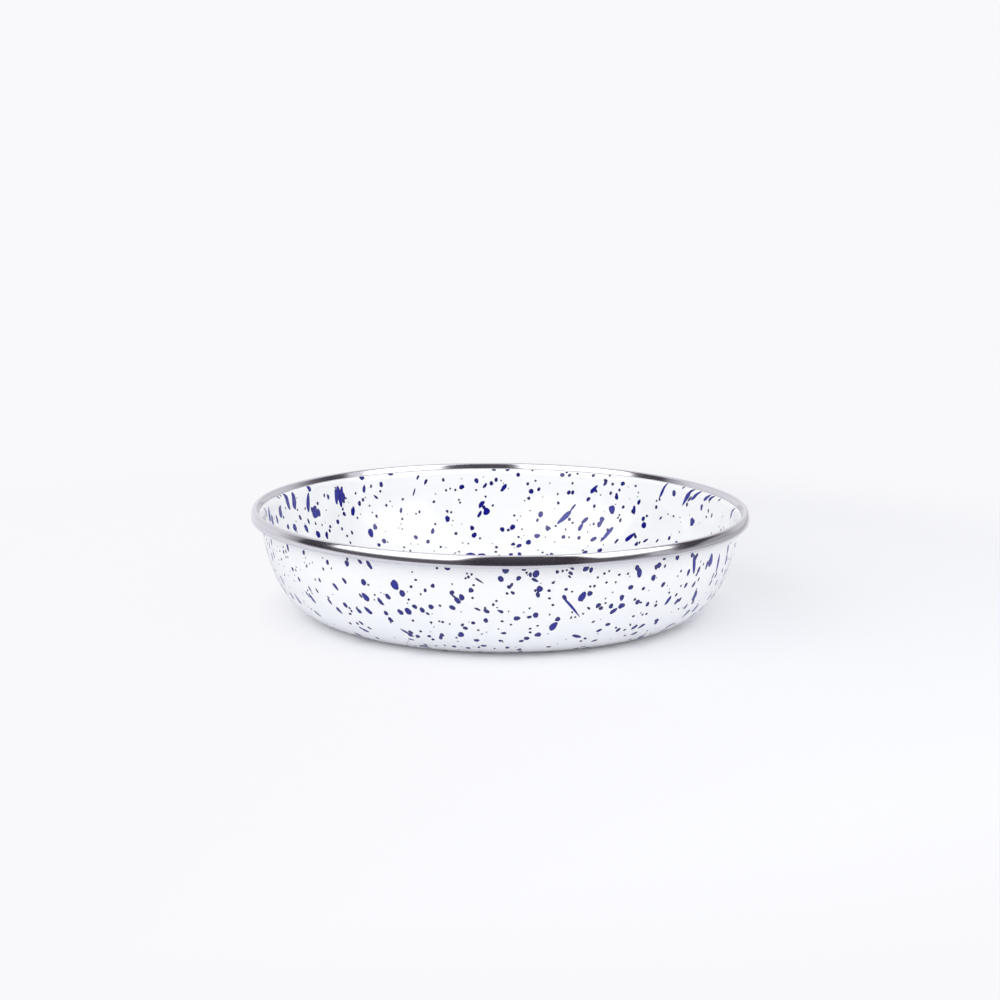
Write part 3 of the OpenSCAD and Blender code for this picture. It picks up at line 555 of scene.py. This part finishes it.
def fleck_patch(rng, rows, side, depth, lip_turn, sides, rings):
    """Low domes for rows of flecks. Each outline is an oval whose radius wavers with the angle and which
    may taper to one end. Its rings climb from just under the white face over a shoulder to the top of
    the dome, and a point closes it. Past the neck a fleck follows the flare, for no more than lip_turn
    radians. Returns points, quads, closing triangles, the tone by size, and how far in from the outline
    each point is, from 0 to 1"""
    most_waver, most_taper = 0.3, 0.3
    root_h, shoulder, shoulder_h = -0.2, 0.9, 0.7
    usual_w, thinnest, thickest = 1.5, 0.6, 1.2
    least_r = 3
    count = len(rows)
    turn, up, width, height, lean = rows.T[:, :, None, None]
    width, height = spread * width + soft_edge, spread * height + soft_edge
    angle = np.arange(sides) * 2 * np.pi / sides
    radius = np.ones((count, 1, sides))
    for waves in (2, 3, 5):
        size = rng.uniform(0, most_waver / waves, (count, 1, 1))
        radius = radius + size * np.cos(waves * angle + rng.uniform(0, 2 * np.pi, (count, 1, 1)))
    taper = rng.uniform(-most_taper, most_taper, (count, 1, 1)) * np.clip(height / width - 1, 0, 1)
    ring = np.concatenate([[1], shoulder * (1 - np.arange(rings - 1) / (rings - 1))])[:, None]
    climb = np.concatenate([[root_h, shoulder_h], np.ones(rings - 2)])[:, None]
    x = ring * radius * width / 2 * np.cos(angle) * (1 + taper * np.sin(angle))
    y = ring * radius * height / 2 * np.sin(angle)
    s, c = np.sin(np.radians(lean)), np.cos(np.radians(lean))

    def topped(values, top):
        """One row for each fleck: the values of all its rings, then that of its closing point"""
        around = np.broadcast_to(values, (count, rings, sides)).reshape(count, -1)
        return np.concatenate([around, np.full((count, 1), top)], 1)

    turn, up, width, height = turn[:, 0], up[:, 0], width[:, 0], height[:, 0]
    middle_r, _ = section(up * wall_run, depth)
    aside = np.degrees(topped(x * c + y * s, 0.0) / np.maximum(middle_r, least_r))
    thick = fleck_t * np.clip(width / usual_w, thinnest, thickest)
    lift = topped(climb, 1.0) * thick
    run = up * wall_run + topped(y * c - x * s, 0.0)
    stretch = (flare_r + depth) / flare_r
    over = np.clip(run - wall_run, 0, flare_r * stretch * lip_turn)
    run = np.where(run > wall_run, wall_run + over / stretch, run)
    points = on_bowl(turn + side * aside, run, depth - side * lift)
    tone = np.clip((width * height) ** 0.5 / full_blue, 0, 1) * np.ones_like(run)
    start = (np.arange(count) * (rings * sides + 1))[:, None]
    j = np.arange(sides)
    k = (j + 1) % sides
    quads = [np.stack([start + q + j, start + q + k, start + q + sides + k, start + q + sides + j], -1)
             for q in np.arange(rings - 1) * sides]
    last = start + (rings - 1) * sides
    tops = np.stack([last + j, last + k, np.broadcast_to(last + sides, (count, sides))], -1)
    return (points.reshape(-1, 3), np.concatenate(quads).reshape(-1, 4), tops.reshape(-1, 3),
            tone.ravel(), topped(1 - ring, 1.0).ravel())


def splatter(name, rows, side, depth, lip_turn, seed):
    """One piece for all the flecks of a face, in three classes by width plus height. A larger class has
    more sides and rings, so that its flecks follow the bend of the wall"""
    rng = np.random.default_rng(seed)
    size = rows[:, 2] + rows[:, 3]
    parts, base = [], 0
    for low, high, sides, rings in ((0, 2.6, 8, 3), (2.6, 5, 14, 4), (5, 99, 24, 8)):
        chosen = rows[(size >= low) & (size < high)]
        points, quads, tops, tone, edge = fleck_patch(rng, chosen, side, depth, lip_turn, sides, rings)
        parts.append((points, quads + base, tops + base, tone, edge))
        base += len(points)
    points, quads, tops, tone, edge = (np.concatenate(group) for group in zip(*parts))
    piece = mesh_object(name, points, [quads, tops])
    for label, values in (("fleck_tone", tone), ("from_edge", edge)):
        layer = piece.data.attributes.new(label, "FLOAT", "POINT")
        layer.data.foreach_set("value", values.astype(np.float32))
    return piece


def blue_enamel():
    """Cobalt blue glass: deep blue in large flecks, blue-black in small and thin ones and at the edges"""
    material, tree = new_material("blue_enamel")
    tone = node(tree, "Attribute", attribute_name="fleck_tone").outputs["Fac"]
    edge = node(tree, "Attribute", attribute_name="from_edge").outputs["Fac"]
    body = colours(tree, tone, (0.15, (0.02, 0.019, 0.045)), (0.5, (0.014, 0.012, 0.14)),
                   (1.0, (0.004, 0.005, 0.26)))
    thin = colours(tree, edge, (0.0, (0.55, 0.55, 0.55)), (0.4, (1, 1, 1)))
    shade = node(tree, "MixRGB", blend_type="MULTIPLY", Fac=1.0, Color1=body, Color2=thin)
    skin = node(tree, "Group", node_tree=gloss, Ripple=0.5, Least_Roughness=0.06, Most_Roughness=0.14)
    shader = node(tree, "BsdfPrincipled", Base_Color=shade.outputs["Color"], IOR=fleck_ior,
                  Roughness=skin.outputs["Roughness"], Normal=skin.outputs["Normal"])
    show(tree, shader)
    return material


# The listed flecks are those of the front outside, from a turn of -70 to 77 degrees, and of the back
# inside, beyond 92 degrees either way. The rest is strewn at random, with fine specks everywhere.
blue = blue_enamel()
rng = np.random.default_rng(7)
outside_rows = np.concatenate([
    np.array(outside_flecks, float),
    scattered(rng, 560, (66, 290), (4, 65)),
    scattered(rng, 110, (-70, 66), (0, 20)),
    strewn_on_base(rng, 480),
    fine_specks(rng, 420, (0, 360), (2, 64)),
    fine_specks(rng, 60, (-82, -50), (10, 64)),
])
inside_rows = np.concatenate([
    np.array(inside_flecks, float),
    scattered(rng, 520, (-92, 97), (4, 65)),
    scattered(rng, 110, (97, 268), (0, 16)),
    strewn_on_base(rng, 480),
    fine_specks(rng, 380, (0, 360), (2, 66)),
])
for name, rows, side, depth, lip_turn, seed in (
    ("splatter_outside_blue", outside_rows, 1, 0.0, 0.6, 21),
    ("splatter_inside_blue", inside_rows, -1, wall_t, 0.9, 22),
):
    piece = splatter(name, rows, side, depth, lip_turn, seed)
    piece.data.materials.append(blue)
    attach(piece, "root")
    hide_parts(name[:-5])

# Sheet and ground coat
# The pressed steel and its dark ground enamel lie sealed under the white. They are the solids of
# the frame, with a rolled grey for the sheet and a speckled blue-black for the glass.


def hidden_layer(name, dark, light, metallic, grain):
    """Two tones that fine noise on object coordinates mixes, with the noise as a slight relief"""
    material, tree = new_material(name)
    where = node(tree, "TexCoord").outputs["Object"]
    spots = node(tree, "TexNoise", Vector=where, Scale=grain, Detail=4.0).outputs["Fac"]
    tone = colours(tree, spots, (0.0, dark), (1.0, light))
    bump = node(tree, "Bump", Height=spots, Strength=0.4, Distance=0.00002)
    shader = node(tree, "BsdfPrincipled", Base_Color=tone, Metallic=metallic, Roughness=0.45,
                  Normal=bump.outputs["Normal"])
    show(tree, shader)
    return material


for name, dark, light, metallic, grain in (
    ("steel_shell", (0.34, 0.35, 0.37), (0.5, 0.51, 0.53), 1.0, 900.0),
    ("ground_coat", (0.012, 0.014, 0.03), (0.05, 0.055, 0.1), 0.0, 1500.0),
):
    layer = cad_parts[name]
    layer.data.materials.clear()
    layer.data.materials.append(hidden_layer(name + "_finish", dark, light, metallic, grain))

# Floor and room
# A pale floor that keeps the shadow near the bowl and fades to the white of the background, and a
# dark wall round the front, seen only in reflections, as a studio has behind its lamps. In the
# reflections the floor is a table, which ends in front and at the right.

background = (0.945, 0.945, 0.968, 1)
floor_white = (0.88, 0.885, 0.925, 1)
room_dark = (0.052, 0.046, 0.056, 1)
floor_reach = 4000.0
fade_from, fade_to = 200.0, 500.0
pale_from, pale_to = 86.0, 130.0
pale_left, pale_right = -120.0, 150.0
most_pale, least_pale = 0.96, 0.4
table_edge = 420.0
table_side = 300.0
side_dark = 0.4
spill = 0.09
open_from, open_to = -12.0, 32.0
open_blur = 0.15


def maths(tree, operation, first, second=0.0):
    """The result of a Math node on two values, each a number or a socket"""
    made = node(tree, "Math", operation=operation)
    for socket, value in zip(made.inputs, (first, second)):
        if isinstance(value, bpy.types.NodeSocket):
            tree.links.new(value, socket)
        else:
            socket.default_value = value
    return made.outputs[0]


def blend(tree, share, first, second):
    """A shader that goes from a first one to a second, as the share goes from 0 to 1"""
    made = node(tree, "MixShader", Fac=share)
    tree.links.new(first.outputs[0], made.inputs[1])
    tree.links.new(second.outputs[0], made.inputs[2])
    return made


def floor_material():
    """Matt white near the bowl. Further out it fades to the background's colour, as light of its own.
    Near the bowl the camera alone also sees part of that glow over the matt, more at the left: painted
    light that keeps the shadow pale.
    In reflections it is the room's dark beyond the table's edge, a little less so at the left and right
    of the open middle, and partly dark past the table's side"""
    material, tree = new_material("floor")
    where = node(tree, "TexCoord").outputs["Object"]
    length = node(tree, "VectorMath", operation="LENGTH")
    tree.links.new(where, length.inputs[0])
    far = length.outputs["Value"]
    place = node(tree, "SeparateXYZ", Vector=where).outputs
    path = node(tree, "LightPath").outputs
    fade = node(tree, "MapRange", interpolation_type="SMOOTHSTEP", Value=far,
                From_Min=fade_from * MM, From_Max=fade_to * MM)
    # Seen by the camera alone, part of the glow lies over the matt near the bowl, more at the left: painted
    # light that makes the bowl's shadow paler.
    paling = node(tree, "MapRange", Value=far, From_Min=pale_from * MM, From_Max=pale_to * MM)
    leftward = node(tree, "MapRange", Value=place["X"], From_Min=pale_left * MM, From_Max=pale_right * MM,
                    To_Min=most_pale, To_Max=least_pale)
    painted_lift = maths(tree, "MULTIPLY", paling.outputs["Result"], leftward.outputs["Result"])
    painted_lift = maths(tree, "MULTIPLY", painted_lift, path["Is Camera Ray"])
    matt = node(tree, "BsdfDiffuse", Color=floor_white)
    glow = node(tree, "Emission", Color=background, Strength=1.0)
    lit = blend(tree, maths(tree, "MAXIMUM", fade.outputs["Result"], painted_lift), matt, glow)
    slopes = -np.tan(np.radians([open_from, open_to]))
    half_open = abs(slopes[1] - slopes[0]) / 2
    slope = maths(tree, "DIVIDE", place["X"], place["Y"])
    aslant = maths(tree, "ABSOLUTE", maths(tree, "SUBTRACT", slope, slopes.mean()))
    dimmed = node(tree, "MapRange", Value=aslant, From_Min=half_open, From_Max=half_open + open_blur,
                  To_Min=1.0, To_Max=1 - spill)
    beyond = maths(tree, "LESS_THAN", place["Y"], -table_edge * MM)
    aside = maths(tree, "GREATER_THAN", place["X"], table_side * MM)
    off_table = maths(tree, "MAXIMUM", maths(tree, "MULTIPLY", beyond, dimmed.outputs["Result"]),
                      maths(tree, "MULTIPLY", aside, side_dark))
    dark = node(tree, "Emission", Color=room_dark, Strength=1.0)
    mirrored = maths(tree, "MULTIPLY", off_table, path["Is Glossy Ray"])
    show(tree, blend(tree, mirrored, lit, dark))
    return material


corners = np.array([[-1, -1, 0], [1, -1, 0], [1, 1, 0], [-1, 1, 0]]) * floor_reach
floor = mesh_object("floor", corners, [np.array([[0, 1, 2, 3]])])
floor.data.materials.append(floor_material())


def dome_patch(name, turns, tilts, far, steps):
    """Part of a dome round the bowl, between two turns and two tilts, seen only in reflections. Point:
    far times (sin turn cos tilt, -cos turn cos tilt, sin tilt). Returns it with its turns and tilts"""
    wide, high = steps
    turn, tilt = np.meshgrid(np.linspace(*turns, wide), np.linspace(*tilts, high))
    t, e = np.radians(turn), np.radians(tilt)
    points = far * np.stack([np.sin(t) * np.cos(e), -np.cos(t) * np.cos(e), np.sin(e)], -1).reshape(-1, 3)
    i = (np.arange(high - 1)[:, None] * wide + np.arange(wide - 1)).ravel()
    patch = mesh_object(name, points, [np.stack([i, i + 1, i + wide + 1, i + wide], 1)])
    for kind in ("camera", "diffuse", "transmission", "shadow", "volume_scatter"):
        setattr(patch, "visible_" + kind, False)
    return patch, turn, tilt


def light_patch(patch, share, bright):
    """Give a patch light of its own, from the dark of the room where the share is 0 to a bright colour
    where it is 1"""
    layer = patch.data.attributes.new("light_share", "FLOAT", "POINT")
    layer.data.foreach_set("value", share.astype(np.float32).ravel())
    material, tree = new_material(patch.name)
    lit = node(tree, "Attribute", attribute_name="light_share")
    paint = node(tree, "MixRGB", Fac=lit.outputs["Fac"], Color1=room_dark, Color2=bright)
    show(tree, node(tree, "Emission", Color=paint.outputs["Color"], Strength=1.0))
    patch.data.materials.append(material)


def rising(values, start, width):
    """0 up to the start, 1 past start plus width, and a straight slope between"""
    return np.clip((values - start) / width, 0, 1)


# The wall is paler at the right above a lintel and below a sill, on a narrow panel there, where light
# spills under the lamps, and towards both its ends, where the bright background begins.
dark_wall, turn, tilt = dome_patch("dark_wall", turns=(-118, 172), tilts=(-6, 68), far=2600.0,
                                   steps=(146, 75))
sill = 6 + 8 * rising(turn, 92, 14)
lintel = 12 + 18 * rising(turn, 80, 12) + 25 * rising(turn, 94, 12)
past_door = rising(turn, 55, 6)
above = past_door * rising(tilt, lintel, 3) * (1 - 0.25 * rising(turn, 104, 6))
below = past_door * rising(-tilt, -sill, 3) * (0.25 + 0.2 * rising(turn, 94, 6))
panel = 0.5 * rising(turn, 66, 3) * (1 - rising(turn, 80, 4))
under_left = rising(-turn, -open_from, 5) * (1 - rising(-turn, 76, 6))
under_right = rising(turn, open_to, 5) * (1 - rising(turn, 84, 8))
spilt = spill * (under_left + under_right)
left_end = 0.42 * rising(-turn, 98, 2) + 0.58 * rising(-turn, 102, 14)
right_end = 0.12 * rising(turn, 104, 10) + 0.63 * rising(turn, 114, 16) + 0.1 * rising(turn, 132, 10)
paler_high = 0.05 * rising(tilt, 8, 30)
wall_light = np.maximum(np.maximum(above, below), right_end + paler_high + spilt) + panel + left_end
light_patch(dark_wall, wall_light, background)

world = bpy.data.worlds.new("studio")
bpy.context.scene.world = world
world.use_nodes = True
tree = world.node_tree
tree.nodes.clear()
path = node(tree, "LightPath").outputs
direct = maths(tree, "MAXIMUM", path["Is Camera Ray"], path["Is Glossy Ray"])
direct = maths(tree, "MAXIMUM", direct, path["Is Transmission Ray"])
fill = node(tree, "Background", Color=(0.96, 0.965, 0.98, 1), Strength=0.65)
white_room = node(tree, "Background", Color=background, Strength=1.0)
output = tree.nodes.new("ShaderNodeOutputWorld")
tree.links.new(blend(tree, direct, fill, white_room).outputs[0], output.inputs["Surface"])

# Lamps
# Two soft boxes, high at the left and right of the camera, and a wide soft light from low in front.
# The lamps show in no reflection: bright patches with slanting sides stand for the boxes' fronts there.

box_tilt, box_away, box_high = 41, 1.5, 1.2
front_low, front_high, front_far = 14, 66, 1500.0
front_bright = (2.8, 2.8, 2.8, 1)


def soft_light(name, turn, tilt, distance, wide, high, power):
    """A rectangular lamp at a turn and tilt from the bowl, facing it, that no reflection shows"""
    light = bpy.data.lights.new(name, "AREA")
    light.shape = "RECTANGLE"
    light.size, light.size_y, light.energy = wide, high, power
    lamp = bpy.data.objects.new(name, light)
    t, e = np.radians(turn), np.radians(tilt)
    lamp.location = distance * Vector((np.sin(t) * np.cos(e), -np.cos(t) * np.cos(e), np.sin(e)))
    lamp.rotation_euler = lamp.location.to_track_quat("Z", "Y").to_euler()
    lamp.visible_glossy = False
    bpy.context.scene.collection.objects.link(lamp)


def box_front(name, start, end, start_slant, end_slant):
    """The bright front of a soft box between two turns, which slant as it rises. It fades over a few
    degrees inside its four edges"""
    turns = (start + start_slant, end + end_slant)
    front, turn, tilt = dome_patch(name, turns, (front_low, front_high), front_far, (60, 40))
    height = rising(tilt, front_low, front_high - front_low)
    across = rising(turn, start + start_slant * height, 4) * rising(-turn, -end - end_slant * height, 4)
    share = across * rising(tilt, front_low, 9) * rising(-tilt, -front_high, 6)
    light_patch(front, share, front_bright)


for side, turn, wide, power in (("left", -45, 2.1, 11), ("right", 61, 1.45, 7.5)):
    soft_light("soft_box_" + side, turn, box_tilt, box_away, wide, box_high, power)
soft_light("front_fill", turn=0, tilt=12, distance=1.6, wide=2.6, high=0.9, power=1.8)
box_front("box_front_left", start=-80, end=-19, start_slant=0, end_slant=17)
box_front("box_front_right", start=43, end=84, start_slant=-18, end_slant=0)

# Camera
# As the photograph was taken: 12 degrees above the table, a metre away, level to half a degree.

camera_tilt = 0.213
camera_roll = 0.0071
camera_away = 1.0
aim = Vector((0, 0, 0.03))
camera = bpy.data.objects.new("camera", bpy.data.cameras.new("camera"))
back = Vector((0, -np.cos(camera_tilt), np.sin(camera_tilt)))
camera.location = aim + camera_away * back
camera.rotation_mode = "QUATERNION"
camera.rotation_quaternion = back.to_track_quat("Z", "Y")
camera.rotation_quaternion.rotate(Quaternion(back, camera_roll))
camera.data.lens = 68.24
camera.data.shift_y = 0.0509
bpy.context.scene.collection.objects.link(camera)
bpy.context.scene.camera = camera
bpy.context.scene.view_settings.view_transform = "Standard"
